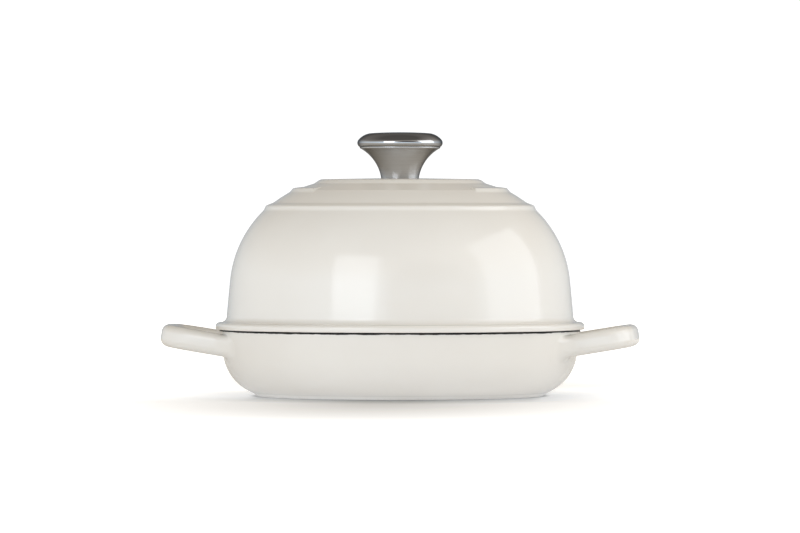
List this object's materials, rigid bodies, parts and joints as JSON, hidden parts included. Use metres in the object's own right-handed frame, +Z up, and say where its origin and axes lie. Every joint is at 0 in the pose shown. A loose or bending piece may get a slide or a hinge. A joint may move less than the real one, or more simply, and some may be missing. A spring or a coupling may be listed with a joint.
{
  "type": "bread cloche",
  "caption": "Enamelled cast-iron bread oven: a shallow round pan with loop handles under a tall domed lid with stepped rings and a steel knob, for baking loaves.",
  "frame": {"origin": "centre of the plane that the pan's foot ring stands on", "axes": "+Z up along the axis of the pan and lid, +X towards one loop handle, -Y the front, where the lid's middle ring is open"},
  "size_m": [0.3382, 0.2606, 0.1862],
  "materials": {
    "pan_enamel": "glossy warm-white enamel outside, matt black enamel on the rim and inside",
    "lid_enamel": "glossy warm-white enamel outside, matt black enamel inside",
    "stem_steel": "satin, turned",
    "cap_steel": "mirror polished",
    "fixing_steel": "plain stainless steel"
  },
  "bodies": {
    "pan": {"base_pan": "pan_enamel"},
    "lid": {"lid_shell": "lid_enamel", "knob_stem": "stem_steel", "knob_cap": "cap_steel", "knob_insert": "fixing_steel", "lid_screw": "fixing_steel", "screw_washer": "fixing_steel"}
  },
  "joints": [
    {"name": "lid_lift", "type": "slide", "parent": "pan", "child": "lid", "axis": [0, 0, 1], "range_m": [0, 0.2]}
  ]
}
